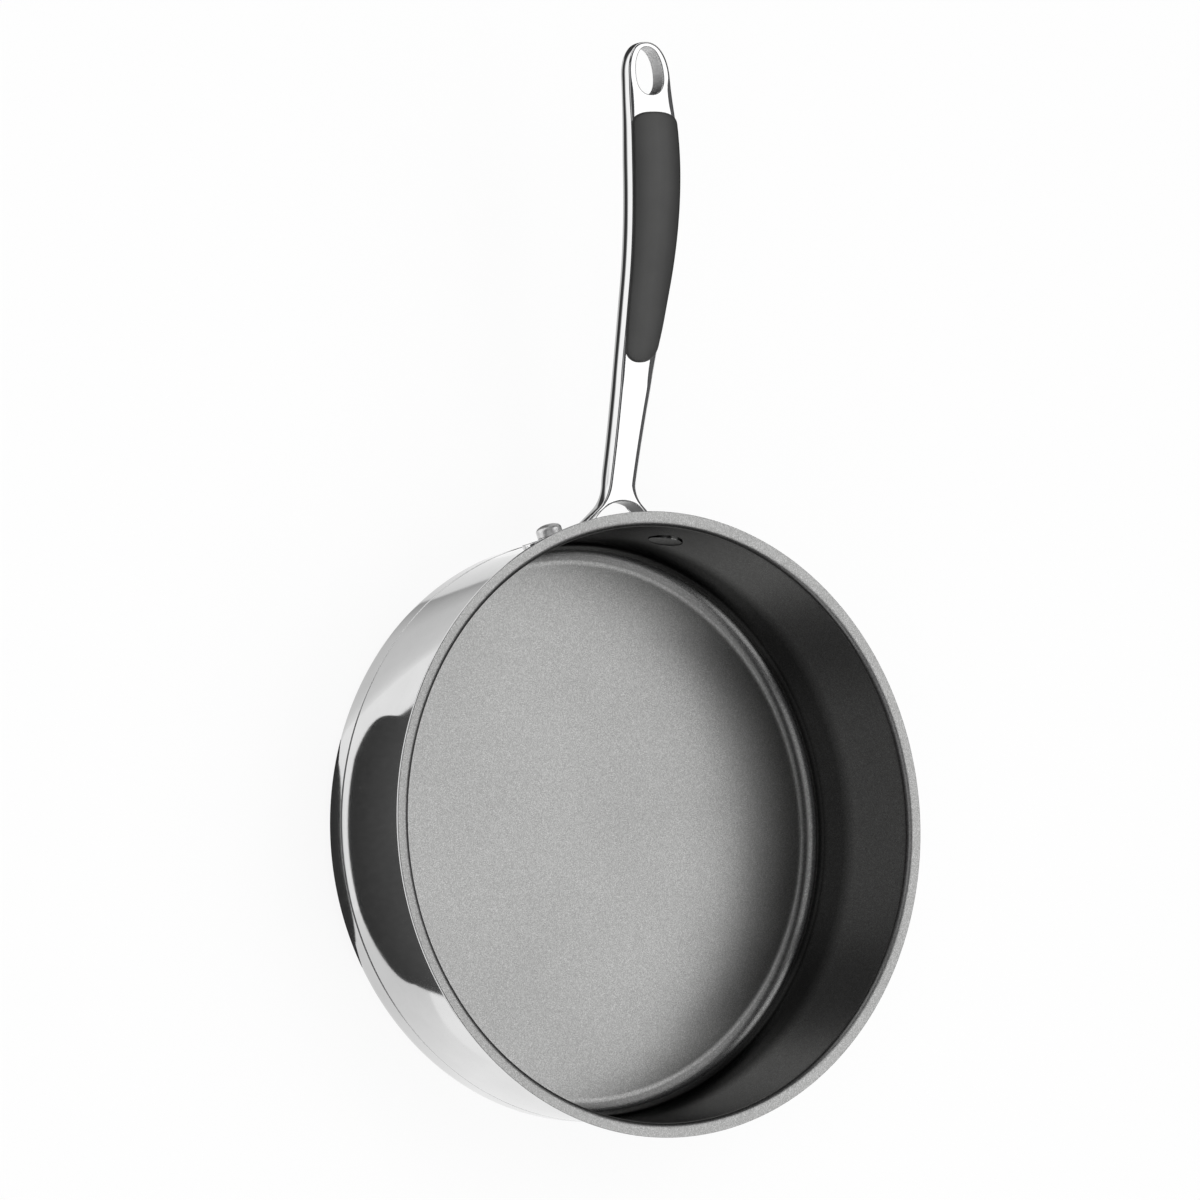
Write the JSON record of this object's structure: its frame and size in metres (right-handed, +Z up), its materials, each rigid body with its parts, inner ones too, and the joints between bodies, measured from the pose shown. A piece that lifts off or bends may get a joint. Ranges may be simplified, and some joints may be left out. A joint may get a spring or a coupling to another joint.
{
  "type": "saute pan",
  "caption": "Round straight-sided steel saute pan with a dark nonstick lining, a rolled-out lip and a long riveted cast handle with a silicone grip and a hanging hole.",
  "frame": {"origin": "middle of the base's flat underside, where the pan stands", "axes": "+Z up along the pan's axis, +X out along the handle, +Y completes the right-handed frame"},
  "size_m": [0.439, 0.252, 0.0985],
  "materials": {
    "body_shell": "mirror-polished stainless steel",
    "nonstick_lining": "dark speckled metallic nonstick coating, satin",
    "base_core": "plain aluminium plate",
    "base_cap": "mirror-polished stainless steel",
    "handle": "mirror-polished cast stainless steel",
    "grip_insert": "matte dark grey silicone",
    "rivet_left": "mirror-polished cast stainless steel",
    "rivet_right": "mirror-polished cast stainless steel"
  },
  "bodies": {
    "root": {"body_shell": "body_shell", "nonstick_lining": "nonstick_lining", "base_core": "base_core", "base_cap": "base_cap", "handle": "handle", "grip_insert": "grip_insert", "rivet_left": "rivet_left", "rivet_right": "rivet_right"}
  },
  "joints": []
}
